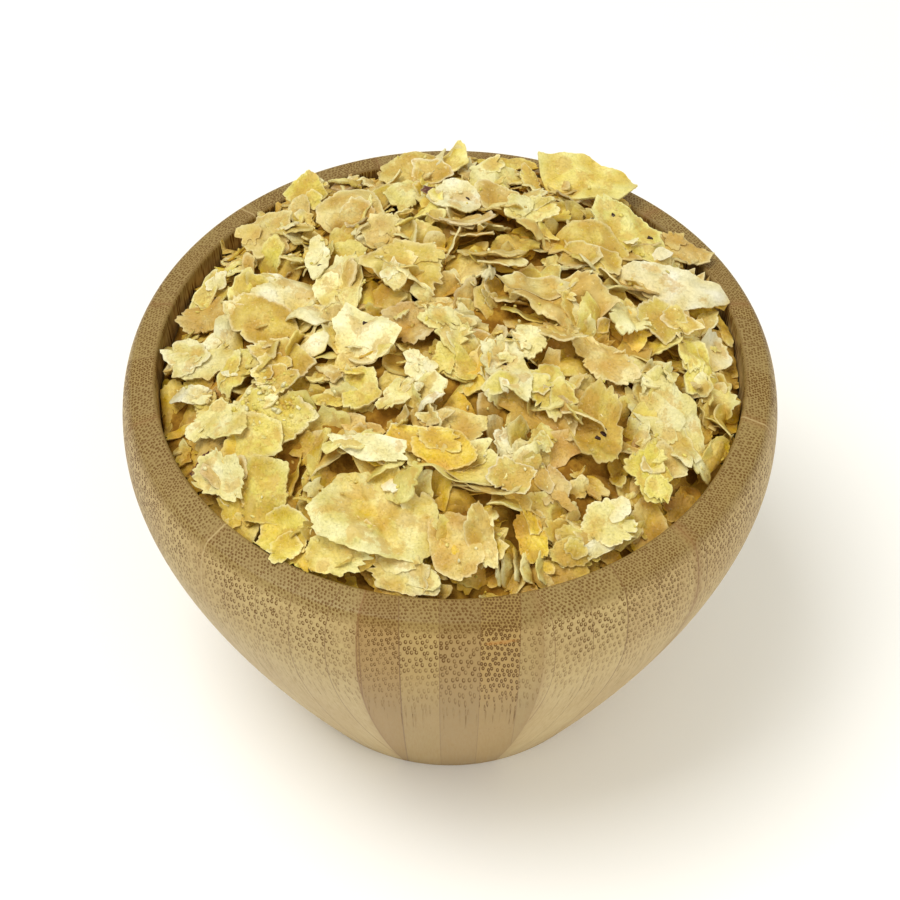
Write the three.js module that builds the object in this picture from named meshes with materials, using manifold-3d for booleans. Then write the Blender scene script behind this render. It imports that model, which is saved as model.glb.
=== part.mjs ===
// A small turned bamboo bowl heaped with dried chestnut flakes.
// Millimetres, +Z up, the origin in the middle of the foot's underside, and -Y is the front.
// Two solids: the bowl, and the whole heap as one body, a core with the larger flakes fused on.

import * as THREE from "three";
import { mergeVertices } from "three/addons/utils/BufferGeometryUtils.js";
import Module from "manifold-3d";

// ---- driving dimensions of the bowl ----
const BOWL_RADIUS = 70; // widest, at the belly under the rim
const BOWL_HEIGHT = 95;
const FOOT_RADIUS = 41.6;
const BELLY_HEIGHT = 80.5;
const BELLY_PULL = 22.5; // how far below the belly its curve turns in to the straight lower wall
const RIM_WIDTH = 4.6; // the nearly flat top of the rim
const RIM_DROP = 1; // it slopes down this much to its outer edge
const MOUTH_RADIUS = 61.8;
const FLOOR_THICKNESS = 8;
const FLOOR_RADIUS = 24; // the flat middle of the inside
const CORNER_RADIUS = 46; // the inside wall's curve bends towards this radius near the floor
const UPRIGHT_FROM = 62; // the height where the inside wall starts to turn inwards
const EDGE_ROUNDING = 0.8;
const BOWL_SEGMENTS = 48;
const CURVE_STEPS = 5;

// ---- driving dimensions of the heap ----
const GAP = 0.45; // the heap stays this far off the bowl
const EDGE_LEVEL = -4.5; // where the core meets the wall, from the rim's plane
const DOME_RISE = 17;
const DOME_POWER = 2.4; // above 2 the dome is flat in the middle and steep at the wall
const SADDLE = 1.5; // lower at the left and right, higher at the front and back
const BACK_RISE = 2.5; // higher at the back, lower at the front
const CORE_COVER = 1.2; // the core's own surface lies this far under the heap's
const CORE_LUMP = 0.7;
const CORE_SEGMENTS = 28;
const CORE_RINGS = [0.86, 0.7, 0.54, 0.38, 0.2];
const HEAP_CEILING = 130; // above everything, for the space that the heap may fill

// ---- driving dimensions of the flakes ----
const FLAKE_THICKNESS = 0.9;
const LARGE_SIDES = 8;
const SMALL_SIDES = 7;
const SMALL_COUNT = 96;
const SMALL_LENGTH = [6, 12];
const SMALL_SLENDER = [0.5, 0.9]; // width over length
const SMALL_TILT = 34; // degrees, either way from the slope of the heap
const STEEP_TILT = 68; // every STEEP_EVERYth small flake stands on its edge
const STEEP_EVERY = 6;
const EDGE_RAGGED = 0.15; // of the flake's own radius
const RIPPLE = 0.45;
const SNAP = 0.08; // slivers under this size are merged away
const SEED = 20;

// The larger flakes that show, each by the middle of its place (x, y), its length and width, the
// heading of its length, and its tilt: pitch towards the front, roll towards the right (+X), in
// degrees. lift raises it off the heap's surface, and curl is how far its ends rise (+) or droop.
const LARGE_FLAKES = [
  { x: -14, y: -44, long: 26, wide: 18, turn: -12, pitch: 24, roll: -8, lift: 2.2, curl: -1.5 },
  { x: 22, y: 5, long: 25, wide: 15, turn: 8, pitch: 4, roll: 8, lift: 2.6, curl: 1.5 },
  { x: 50, y: 16, long: 23, wide: 12, turn: -8, pitch: -4, roll: 16, lift: 3.2, curl: -3 },
  { x: -35, y: 9, long: 27, wide: 13, turn: -48, pitch: 4, roll: -18, lift: 2.2, curl: 0 },
  { x: -39, y: 3, long: 21, wide: 12, turn: -42, pitch: 12, roll: -18, lift: 3, curl: -1 },
  { x: -18, y: -5, long: 17, wide: 16, turn: -6, pitch: 14, roll: -8, lift: 2.6, curl: -1 },
  { x: -37, y: -22, long: 20, wide: 18, turn: -7, pitch: 16, roll: -20, lift: 1.8, curl: 0.5 },
  { x: 39, y: 31, long: 22, wide: 13, turn: -36, pitch: 8, roll: 16, lift: 3.2, curl: -1 },
  { x: 30, y: 50, long: 21, wide: 14, turn: -20, pitch: -4, roll: 6, lift: 3.4, curl: 0.6 },
  { x: 31, y: 22, long: 18, wide: 15, turn: -7, pitch: 12, roll: 12, lift: 2.2, curl: 1 },
  { x: 44, y: -21, long: 22, wide: 11, turn: -62, pitch: 14, roll: 22, lift: 2.8, curl: 0.8 },
  { x: 52, y: -6, long: 21, wide: 10, turn: -88, pitch: 8, roll: 34, lift: 2.2, curl: 0 },
  { x: 11, y: -15, long: 17, wide: 10, turn: -62, pitch: 16, roll: 6, lift: 3, curl: 0.8 },
  { x: -38, y: -38, long: 17, wide: 13, turn: 70, pitch: 22, roll: -20, lift: 2, curl: 2 },
  { x: -32, y: -46, long: 13, wide: 11, turn: -36, pitch: 26, roll: -18, lift: 2.4, curl: -1 },
  { x: -45, y: -33, long: 12, wide: 11, turn: -30, pitch: 18, roll: -20, lift: 2, curl: 0 },
  { x: -23, y: 9, long: 20, wide: 11, turn: 82, pitch: 10, roll: -14, lift: 2.6, curl: 0.6 },
  { x: -16, y: -33, long: 18, wide: 8, turn: -20, pitch: 18, roll: -6, lift: 2.6, curl: -0.8 },
  { x: -5, y: -33, long: 18, wide: 8, turn: -14, pitch: 18, roll: -4, lift: 3.2, curl: 1 },
  { x: 1, y: -28, long: 13, wide: 10, turn: -10, pitch: 12, roll: 2, lift: 1.4, curl: 1 },
  { x: 1, y: -51, long: 15, wide: 11, turn: -62, pitch: 28, roll: 2, lift: 1.8, curl: -0.8 },
  { x: 6, y: -51, long: 17, wide: 6, turn: -72, pitch: 30, roll: 10, lift: 2.6, curl: 0 },
  { x: 14, y: -45, long: 15, wide: 8, turn: -50, pitch: 26, roll: 10, lift: 1.8, curl: 1 },
  { x: 29, y: -26, long: 17, wide: 11, turn: -85, pitch: 14, roll: 14, lift: 2, curl: 1.2 },
  { x: 40, y: -34, long: 14, wide: 11, turn: -82, pitch: 20, roll: 20, lift: 1.8, curl: 0.6 },
  { x: 31, y: -45, long: 11, wide: 9, turn: -6, pitch: 26, roll: 14, lift: 2, curl: 0 },
  { x: 31, y: -9, long: 18, wide: 10, turn: -37, pitch: 10, roll: 12, lift: 2.2, curl: 0.8 },
  { x: 20, y: -19, long: 12, wide: 11, turn: -84, pitch: 12, roll: 8, lift: 2, curl: -0.8 },
  { x: 37, y: 3, long: 11, wide: 9, turn: -16, pitch: 8, roll: 14, lift: 2.8, curl: 0 },
  { x: 44, y: 4, long: 14, wide: 10, turn: -14, pitch: 20, roll: 20, lift: 1, curl: 0.6 },
  { x: -54, y: -1, long: 15, wide: 11, turn: -12, pitch: 10, roll: -16, lift: 2, curl: 1 },
  { x: -52, y: 11, long: 13, wide: 12, turn: -18, pitch: 12, roll: -24, lift: 1.8, curl: 2.4 },
  { x: -40, y: 31, long: 14, wide: 13, turn: 20, pitch: 6, roll: -20, lift: 2, curl: 1.6 },
  { x: -32, y: 43, long: 10, wide: 10, turn: -18, pitch: 24, roll: -14, lift: 2.4, curl: -1 },
  { x: -22, y: 36, long: 16, wide: 11, turn: -3, pitch: 10, roll: -10, lift: 2.2, curl: 0.8 },
  { x: -9, y: 12, long: 19, wide: 14, turn: -17, pitch: 8, roll: -2, lift: 1.8, curl: -1 },
  { x: -8, y: -2, long: 12, wide: 11, turn: -34, pitch: 8, roll: -2, lift: 1.8, curl: 0.8 },
  { x: 0, y: -4, long: 18, wide: 9, turn: -42, pitch: 14, roll: 4, lift: 2.4, curl: -0.8 },
  { x: 1, y: 35, long: 12, wide: 10, turn: 0, pitch: 6, roll: 0, lift: 3, curl: 0 },
  { x: -8, y: 51, long: 16, wide: 11, turn: -2, pitch: 2, roll: -6, lift: 3.6, curl: 0.8 },
  { x: 10, y: 48, long: 12, wide: 10, turn: 19, pitch: 10, roll: 6, lift: 2.6, curl: -1 },
  { x: 17, y: 31, long: 12, wide: 9, turn: 8, pitch: 4, roll: 8, lift: 2.6, curl: 0 },
  { x: -48, y: -21, long: 16, wide: 12, turn: -5, pitch: 14, roll: -20, lift: 1.8, curl: 0.8 },
  { x: -22, y: -53, long: 15, wide: 9, turn: -14, pitch: 28, roll: -14, lift: 1.8, curl: 0.8 },
  { x: -9, y: -56, long: 15, wide: 8, turn: -16, pitch: 30, roll: -6, lift: 2, curl: -0.8 },
  { x: 51, y: 30, long: 13, wide: 11, turn: -15, pitch: 2, roll: 18, lift: 2, curl: 0 },
];

const wasm = await Module();
wasm.setup();

// A seeded source of numbers from 0 up to 1, the same on each run.
function seeded(seed) {
  let state = seed >>> 0;
  return () => {
    state = (state + 0x6d2b79f5) >>> 0;
    let mixed = Math.imul(state ^ (state >>> 15), state | 1);
    mixed ^= mixed + Math.imul(mixed ^ (mixed >>> 7), mixed | 61);
    return ((mixed ^ (mixed >>> 14)) >>> 0) / 4294967296;
  };
}

const between = (random, [low, high]) => low + (high - low) * random();
const radians = THREE.MathUtils.degToRad;

// three.js turns a lathe about +Y, and this part stands along +Z.
function latheUpright(profile, segments) {
  return new THREE.LatheGeometry(profile, segments).rotateX(Math.PI / 2);
}

function toSolid(geometry) {
  const bare = geometry.clone();
  bare.deleteAttribute("normal");
  bare.deleteAttribute("uv");
  const merged = mergeVertices(bare, 1e-4);
  return new wasm.Manifold(
    new wasm.Mesh({
      numProp: 3,
      vertProperties: merged.attributes.position.array,
      triVerts: new Uint32Array(merged.index.array),
    }),
  );
}

function toGeometry(solid) {
  const mesh = solid.getMesh();
  const geometry = new THREE.BufferGeometry();
  geometry.setAttribute("position", new THREE.BufferAttribute(mesh.vertProperties, 3));
  geometry.setIndex(new THREE.BufferAttribute(mesh.triVerts, 1));
  return geometry;
}

// ---- the bowl ----

// The inside of the bowl, from the middle of its floor up to the mouth.
function cavityProfile() {
  const lip = BOWL_HEIGHT - EDGE_ROUNDING;
  const wall = new THREE.Path();
  wall.moveTo(0, FLOOR_THICKNESS);
  wall.lineTo(FLOOR_RADIUS, FLOOR_THICKNESS);
  wall.bezierCurveTo(CORNER_RADIUS, FLOOR_THICKNESS, MOUTH_RADIUS, UPRIGHT_FROM, MOUTH_RADIUS, lip);
  return wall.getPoints(CURVE_STEPS);
}

// The closed outline that makes the bowl: foot, outside, rim and inside.
function bowlProfile() {
  const rimOuter = MOUTH_RADIUS + RIM_WIDTH;
  const outside = new THREE.Path();
  outside.moveTo(MOUTH_RADIUS + EDGE_ROUNDING, BOWL_HEIGHT);
  outside.lineTo(rimOuter, BOWL_HEIGHT - RIM_DROP);
  for (let i = 1; i <= CURVE_STEPS; i++) {
    const angle = (i / CURVE_STEPS) * (Math.PI / 2);
    outside.lineTo(
      rimOuter + (BOWL_RADIUS - rimOuter) * Math.sin(angle),
      BELLY_HEIGHT + (BOWL_HEIGHT - RIM_DROP - BELLY_HEIGHT) * Math.cos(angle),
    );
  }
  outside.bezierCurveTo(
    BOWL_RADIUS, BELLY_HEIGHT - BELLY_PULL,
    FOOT_RADIUS, EDGE_ROUNDING,
    FOOT_RADIUS, EDGE_ROUNDING,
  );
  outside.lineTo(FOOT_RADIUS - EDGE_ROUNDING, 0);
  outside.lineTo(0, 0);
  return [...cavityProfile(), ...outside.getPoints(CURVE_STEPS)].reverse();
}

// ---- the heap ----

// How high the heap stands at a place, before the flakes' own unevenness.
function heapHeight(x, y) {
  const reach = Math.min(Math.hypot(x, y) / MOUTH_RADIUS, 1.1);
  const dome = DOME_RISE * (1 - reach ** DOME_POWER);
  const saddle = (-SADDLE * (x * x - y * y)) / MOUTH_RADIUS ** 2;
  return BOWL_HEIGHT + EDGE_LEVEL + dome + saddle + (BACK_RISE * y) / MOUTH_RADIUS;
}

// The slope of the heap at a place, as the pitch and roll of a flake that lies flat on it.
function heapSlope(x, y) {
  const step = 0.5;
  const alongX = (heapHeight(x + step, y) - heapHeight(x - step, y)) / (2 * step);
  const alongY = (heapHeight(x, y + step) - heapHeight(x, y - step)) / (2 * step);
  return {
    pitch: THREE.MathUtils.radToDeg(Math.atan(alongY)),
    roll: THREE.MathUtils.radToDeg(Math.atan(-alongX)),
  };
}

// The space that the heap may fill: the cavity short of the wall, and above the rim.
function heapSpace() {
  const inside = cavityProfile().map(
    (point, i) => new THREE.Vector2(Math.max(point.x - (i ? GAP : 0), 0), point.y + GAP),
  );
  inside.push(
    new THREE.Vector2(MOUTH_RADIUS - GAP, BOWL_HEIGHT + GAP),
    new THREE.Vector2(BOWL_RADIUS - 2, BOWL_HEIGHT + GAP),
    new THREE.Vector2(BOWL_RADIUS - 2, HEAP_CEILING),
    new THREE.Vector2(0, HEAP_CEILING),
  );
  return toSolid(latheUpright(inside, BOWL_SEGMENTS));
}

// The core: the cavity filled up to a lumpy dome.
function heapCore() {
  const bottom = cavityProfile().slice(0, -1);
  const outline = bottom.map((point) => point.clone());
  outline.push(new THREE.Vector2(MOUTH_RADIUS, BOWL_HEIGHT - 8));
  const firstTop = outline.length;
  outline.push(new THREE.Vector2(MOUTH_RADIUS, BOWL_HEIGHT));
  CORE_RINGS.forEach((share) => outline.push(new THREE.Vector2(share * MOUTH_RADIUS, BOWL_HEIGHT)));
  outline.push(new THREE.Vector2(0, BOWL_HEIGHT));
  const geometry = latheUpright(outline, CORE_SEGMENTS);
  const position = geometry.attributes.position;
  for (let i = 0; i < position.count; i++) {
    if (i % outline.length < firstTop) continue;
    const x = position.getX(i);
    const y = position.getY(i);
    const lump = CORE_LUMP * (Math.sin(x / 4.1 + 1) + Math.sin(y / 3.7 - 2 + x / 9));
    position.setZ(i, heapHeight(x, y) - CORE_COVER + lump);
  }
  return toSolid(geometry);
}

// ---- the flakes ----

// A thin wavy plate round the origin, with both faces split into triangles alike. Its outline is a
// ragged oval, and a plate of two rings keeps its curl in the middle too.
function flakeGeometry({ long, wide, curl = 0, sides, rings }, random) {
  const phase = 2 * Math.PI * random();
  const heightAt = (x, y) =>
    curl * (2 * x / long) ** 2 + RIPPLE * Math.sin(x / 2.3 + phase) * Math.cos(y / 2 - phase);
  const outline = [];
  for (let i = 0; i < sides; i++) {
    const angle = ((i + 0.35 * (random() - 0.5)) / sides) * 2 * Math.PI;
    const reach = 1 + EDGE_RAGGED * (2 * random() - 1);
    outline.push([reach * Math.cos(angle), reach * Math.sin(angle)]);
  }
  const places = [[0, 0]];
  for (let ring = 1; ring <= rings; ring++) {
    outline.forEach(([across, along]) =>
      places.push([(ring / rings) * across * long / 2, (ring / rings) * along * wide / 2]),
    );
  }
  const vertices = [];
  for (const side of [1, -1]) {
    places.forEach(([x, y]) => vertices.push(x, y, heightAt(x, y) + (side * FLAKE_THICKNESS) / 2));
  }
  const underside = places.length;
  const triangles = [];
  const bothFaces = (a, b, c) =>
    triangles.push(a, b, c, underside + a, underside + c, underside + b);
  for (let i = 0; i < sides; i++) {
    const next = (i + 1) % sides;
    bothFaces(0, 1 + i, 1 + next);
    for (let ring = 1; ring < rings; ring++) {
      const inner = 1 + (ring - 1) * sides;
      const outer = inner + sides;
      bothFaces(inner + i, outer + i, outer + next);
      bothFaces(inner + i, outer + next, inner + next);
    }
    const edge = 1 + (rings - 1) * sides;
    const [a, b] = [edge + i, edge + next];
    triangles.push(a, underside + a, b, b, underside + a, underside + b);
  }
  const geometry = new THREE.BufferGeometry();
  geometry.setAttribute("position", new THREE.Float32BufferAttribute(vertices, 3));
  geometry.setIndex(triangles);
  return geometry;
}

// Lays a flake on the heap: its normal from pitch and roll, its length along its heading.
function placement({ x, y, turn, pitch, roll, lift }) {
  const tilt = new THREE.Vector2(Math.tan(radians(roll)), -Math.tan(radians(pitch)));
  const normal = new THREE.Vector3(tilt.x, tilt.y, 1).normalize();
  const heading = new THREE.Vector2(Math.cos(radians(turn)), Math.sin(radians(turn)));
  const along = new THREE.Vector3(heading.x, heading.y, -heading.dot(tilt)).normalize();
  const across = new THREE.Vector3().crossVectors(normal, along);
  return new THREE.Matrix4()
    .makeBasis(along, across, normal)
    .setPosition(x, y, heapHeight(x, y) + lift);
}

function flakeSolid(flake, random) {
  return toSolid(flakeGeometry(flake, random).applyMatrix4(placement(flake)));
}

// Small flakes over the whole heap, evenly spread on a spiral. One whose middle would be hidden
// under a large flake is skipped.
function smallFlakes(random) {
  const flakes = [];
  const goldenAngle = Math.PI * (3 - Math.sqrt(5));
  for (let i = 0; i < SMALL_COUNT; i++) {
    const radius = (MOUTH_RADIUS - 3) * Math.sqrt((i + 0.5) / SMALL_COUNT);
    const x = radius * Math.cos(i * goldenAngle);
    const y = radius * Math.sin(i * goldenAngle);
    const slope = heapSlope(x, y);
    const steep = i % STEEP_EVERY === 0;
    const tilt = steep ? STEEP_TILT : SMALL_TILT;
    const long = between(random, SMALL_LENGTH);
    const flake = {
      x,
      y,
      long,
      wide: long * between(random, SMALL_SLENDER),
      turn: 360 * random(),
      pitch: steep ? tilt * Math.sign(random() - 0.5) : slope.pitch + tilt * (2 * random() - 1),
      roll: steep ? 0 : slope.roll + tilt * (2 * random() - 1),
      lift: steep ? 0.2 : 0.9,
      sides: SMALL_SIDES,
      rings: 1,
    };
    const covered = LARGE_FLAKES.some(
      (large) => Math.hypot(large.x - x, large.y - y) < 0.3 * large.wide,
    );
    if (!covered) flakes.push(flake);
  }
  return flakes;
}

// Core and flakes as one body, cut to the space it may fill, without scraps or sealed hollows.
function heapSolid() {
  const random = seeded(SEED);
  const large = LARGE_FLAKES.map((flake) => ({ ...flake, sides: LARGE_SIDES, rings: 2 }));
  const flakes = [...large, ...smallFlakes(random)].map((flake) => flakeSolid(flake, random));
  const joined = wasm.Manifold.union([heapCore(), ...flakes]);
  const fitted = joined.intersect(heapSpace()).simplify(SNAP);
  return fitted
    .decompose()
    .reduce((largest, body) => (body.volume() > largest.volume() ? body : largest));
}

// ---- the object ----

const bamboo = new THREE.MeshStandardMaterial({ color: 0xb39a6b, roughness: 0.6, metalness: 0 });
const chestnut = new THREE.MeshStandardMaterial({ color: 0xe6d08a, roughness: 0.8, metalness: 0 });

const bowl = new THREE.Mesh(latheUpright(bowlProfile(), BOWL_SEGMENTS), bamboo);
bowl.name = "bowl";

const flakes = new THREE.Mesh(toGeometry(heapSolid()), chestnut);
flakes.name = "flakes";

const bowlOfFlakes = new THREE.Group();
bowlOfFlakes.add(bowl, flakes);

export default bowlOfFlakes;
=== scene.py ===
"""A small turned bamboo bowl heaped with dried chestnut flakes, dressed for rendering.

The frame gives the bowl's size. Lengths are in millimetres here and become metres in the meshes.
+Z is up and -Y is the front. The heap is a core in painted shade, then layers of flakes laid one
by one on what lies there already: loose filling, the large flakes that show, and small ones on top.
"""

import math
from collections import namedtuple

import bpy
import numpy as np
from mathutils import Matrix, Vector


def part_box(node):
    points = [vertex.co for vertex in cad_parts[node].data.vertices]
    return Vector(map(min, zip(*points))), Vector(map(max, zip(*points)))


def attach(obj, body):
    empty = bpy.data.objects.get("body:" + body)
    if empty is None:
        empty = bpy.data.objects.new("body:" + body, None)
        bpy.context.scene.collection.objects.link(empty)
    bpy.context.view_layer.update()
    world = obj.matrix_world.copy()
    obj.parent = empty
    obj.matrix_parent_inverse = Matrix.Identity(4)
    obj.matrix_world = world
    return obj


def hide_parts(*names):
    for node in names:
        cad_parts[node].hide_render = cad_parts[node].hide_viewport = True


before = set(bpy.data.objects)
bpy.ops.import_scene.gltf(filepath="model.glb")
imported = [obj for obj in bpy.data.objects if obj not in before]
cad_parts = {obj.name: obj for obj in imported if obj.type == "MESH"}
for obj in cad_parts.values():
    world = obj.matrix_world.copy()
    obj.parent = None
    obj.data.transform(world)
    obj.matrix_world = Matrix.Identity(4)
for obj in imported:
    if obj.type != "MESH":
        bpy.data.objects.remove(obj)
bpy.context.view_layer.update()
MM = 0.001

# ---- the bowl, as the solid has it ----
BOWL_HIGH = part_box("bowl")[1]
BOWL_RADIUS = BOWL_HIGH[0] / MM
BOWL_HEIGHT = BOWL_HIGH[2] / MM
FOOT_RADIUS = 41.6
BELLY_HEIGHT = 80.5
BELLY_PULL = 22.5
RIM_WIDTH = 4.6
RIM_DROP = 1.0
MOUTH_RADIUS = 61.8
FLOOR_THICKNESS = 8.0
FLOOR_RADIUS = 24.0
CORNER_RADIUS = 46.0
UPRIGHT_FROM = 62.0
EDGE_ROUNDING = 0.8
RIM_STARTS = MOUTH_RADIUS - 0.3
BOWL_SEGMENTS = 240
CURVE_STEPS = 40

# ---- the bamboo ----
STAVE_ANGLE = math.radians(30)
STRIP_WIDTH = 7.75
FIRST_SEAM = 5.75
FIBRE_SLOPE = math.radians(64)  # the fibres rise outwards along the lower wall
STREAKS_BELOW = 72.0  # the height below which the bundles are cut ever more aslant, into streaks
BUNDLE_SPACING = 1.06
ROW_PITCH = math.sin(math.radians(60))  # of staggered rows, in spacings
CLOSER_ON_RIM = 1.4

# ---- the heap ----
EDGE_LEVEL = -4.5
DOME_RISE = 17.0
DOME_POWER = 2.4
SADDLE = 1.5
BACK_RISE = 2.5
CORE_DEPTH = 2.4
CORE_GAP = 0.5  # between the core and the wall
CORE_SIDES = 180
CORE_RINGS = 60
CELL = 0.7  # of the grid that holds the heap's height
CLIMB = 2.0
HIGHEST = (4.5, 3.0)  # how far above the dome a small flake's middle may lie, inside and by the wall
HIGHEST_LARGE = (7.0, 7.0)
BY_THE_WALL = (0.8, 0.94)  # where the one gives way to the other, in mouth radii
ON_RIM = 2.5  # a flake's place less than this below the rim's top has to clear the rim
OVER_RIM = 0.12  # how far a flake clears the rim, and the wall
OFF_WALL = 0.25
DRAWN_IN = 0.975
DRAWN_IN_TIMES = 4
BITE = 0.35
BITE_LARGE = 0.2
STEEPEST = 50
STEEPEST_BY_WALL = 28
CRUMBS = 260
CRUMBS_HEAPED = 110
CRUMBLY = np.array([-36, -19])
CRUMB_KINDS = ["white", "cream", "yellow", "tan"]
SPECK_SIDES = 9
ON_EDGE = 40  # a stack that rolls more than this stands on its edges
GOLDEN_TURN = math.pi * (3 - math.sqrt(5))
AROUND = 3.0  # how far about a place the heap's level counts as its surroundings
# painted shade: the deeper, warmer tint that low places in the heap get, as little white light gets there
DEEP_SHADE = np.array([1.0, 0.74, 0.12])  # low places look deeper: little white light gets there
SEED = 7

# ---- a flake ----
THICKNESS = (0.35, 0.7)
SPREAD = 1.05  # for what the breaks take off a flake
CORNERS = 0.16
TEARS = ((6.0, 0.4), (2.2, 0.28), (0.9, 0.25))  # how long and deep the bites out of an edge are
CREASE = 0.17
LAYER_SIZE = (0.4, 0.75)  # of a layer left on a flake, and how far off the middle, in the flake's own
LAYER_ASIDE = (0.35, 0.6)
LAYER_THICKNESS = (0.2, 0.35)
LAYER_PEEL = (0.1, 0.9)
LAYER_SIDES = 40
LAYER_RINGS = 4

# ---- the view ----
VIEW_ELEVATION = math.radians(49.84)
VIEW_DISTANCE = 443.2
VIEW_HEIGHT = 65.3
LENS = 79.9
SENSOR = 36.0
LIT_FROM_ROUND = (1.0, 0.97, 0.86, 1.0)
LIT_FROM_ROUND_STRENGTH = 0.69
LIT_PLACE = (0, 0, 0.07)
FLOOR_SIZE = 6

Flake = namedtuple(
    "Flake",
    "kind x y long wide turn pitch roll curl ragged specks hook",
    defaults=(0.0, 1.0, (), 0.0),
)

# The flakes that show, from the lowest to the topmost in each part of the heap. x and y are the
# middle of each one's place, turn is the heading of its length, pitch tips it towards the front and
# roll towards the right, all in degrees. curl is how far its ends rise, and ragged how torn its edge
# is. A speck is (along, across, size) on the flake, in millimetres, and hook is how far the end that
# its heading points to bends down.
DARK_SPOT = ((0.6, 0.5, 1.0), (1.7, -0.5, 0.7), (-0.2, 1.3, 0.5))
BACK_FLAKES = (
    ("gold", -8, 51, 16, 11, -2, 2, -6, 0.8, 0.5),
    ("cream", 10, 48, 12, 10, 19, 10, 6, -1.0),
    ("gold", 18, 47, 12, 6, -82, -6, 11),
    ("yellow", 13, 60, 15, 4, 0, 0, 0, 0.0, 0.4),
    ("cream", 30, 50, 23, 14, -20, 0, 6, 0.6, 0.2),
    ("tan", 51, 30, 13, 11, -15, 2, 18),
    ("gold", 31, 22, 18, 15, -7, 12, 12, 1.0, 0.6),
    ("cream", 39, 31, 22, 13, -36, 8, 16, -1.0, 0.8, ((-4.6, 0.5, 0.6), (4.6, 1.4, 0.7))),
    ("tan", 10, 38, 11, 8, -12, 8, 4, 0.5, 0.6),
    ("cream", 17, 31, 12, 9, 8, 4, 8),
    ("gold", 14, 21, 11, 6, 11, -6, 7, 0.0, 0.6),
    ("cream", -9, 40, 11, 9, 30, 12, -4, 0.6),
    ("white", 1, 35, 12, 10, 0, 6, 0, 0.0, 0.35, ((2.8, 0.6, 0.5),)),
    ("husk", -4, 39, 5.5, 2.6, -10, 14, 0, 0.0, 0.6),
    ("brown", -8, 57, 4, 2.5, 80, -20, 10, 0.5, 1.0),
)
LEFT_FLAKES = (
    ("tan", -22, 36, 16, 11, -3, 10, -10, 0.8, 0.6),
    ("yellow", -32, 43, 10, 10, -18, 24, -14, -1.0, 0.5),
    ("tan", -40, 31, 14, 13, 20, 6, -20, 1.6),
    ("tan", -14, 24, 12, 9, -70, 10, -6, 1.2, 0.8),
    ("white", -28, 19, 15, 6, -87, -6, -15, 0.0, 0.6, ((3.0, 0.4, 0.4),)),
    ("cream", -23, 9, 20, 11, 82, 10, -14, 0.6, 1.3),
    ("tan", -52, 11, 13, 12, -18, 12, -24, 2.4),
    ("white", -35, 9, 27, 13, -48, 4, -18, 0.0, 0.4),
    ("gold", -34, -8, 18, 8, -38, 6, -17, 0.0, 0.5),
    ("gold", -39, 3, 21, 12, -42, 12, -18, -1.0, 0.6),
    ("cream", -52, -1, 15, 11, -12, 10, -16, 1.0, 1.2),
    ("white", -54, -10, 12, 5, -25, 7, -20, 0.0, 0.7),
    ("yellow", -44, -9, 12, 7, 63, 7, -20),
    ("yellow", -37, -22, 20, 18, -7, 16, -20, 0.5, 1.0),
    ("gold", -35, -14, 11, 8, -24, 9, -18, 0.8, 0.8),
    ("cream", -48, -21, 16, 12, -5, 14, -20, 0.8, 0.9),
    ("white", -18, -5, 17, 16, -6, 14, -8, -1.0, 0.6, ((0.7, 2.0, 0.6),)),
    ("yellow", -18, -17, 11, 9, -88, 8, -8, -0.6, 0.7),
    ("white", -45, -33, 12, 11, -30, 18, -20, 0.0, 1.2),
    ("husk", -50, -28.5, 6, 2.8, 52, 14, -20, 0.3, 0.5),
    ("yellow", -38, -38, 17, 13, 70, 22, -20, 2.0, 0.7),
    ("yellow", -32, -46, 13, 11, -36, 26, -18, -1.0, 0.5),
)
MIDDLE_FLAKES = (
    ("gold", -9, 12, 19, 14, -17, 8, -2, -1.0),
    ("cream", -11, 8, 8, 6, 90, 0, -4, -0.4, 0.5),
    ("tan", -8, -2, 12, 11, -34, 8, -2, 0.8),
    ("cream", 0, -4, 18, 9, -42, 14, 4, -0.8),
    ("yellow", 1, -12, 12, 8, -47, 5, 0, 0.0, 0.6),
    ("white", -6, -14, 9, 6, -64, 7, -2, 0.4, 0.5),
    ("cream", -11, -20, 10, 6, 40, 10, -5),
    ("tan", 23, 5, 28, 16, 8, 6, 8, 0.8, 0.7),
    ("tan", 31, -9, 18, 10, -37, 10, 12, 0.8, 1.2),
    ("white", 37, 3, 11, 9, -16, 8, 14, 0.0, 1.3),
    ("white", 11, -15, 17, 10, -62, 16, 6, 0.8, 0.7, ((-1.0, 0.4, 0.5),)),
    ("white", 16, -8, 9, 7, -60, 5, 6, 0.0, 0.9),
    ("yellow", 20, -19, 12, 11, -84, 12, 8, -0.8, 1.2),
    ("gold", 44, 4, 14, 10, -14, 20, 20, 0.6, 0.7),
    ("white", 48, 15, 25, 14, -12, 18, 6, -1.6, 0.45, (), 3.6),
    ("yellow", 52, -6, 21, 10, -88, 8, 34, 0.0, 0.6),
)
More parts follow.
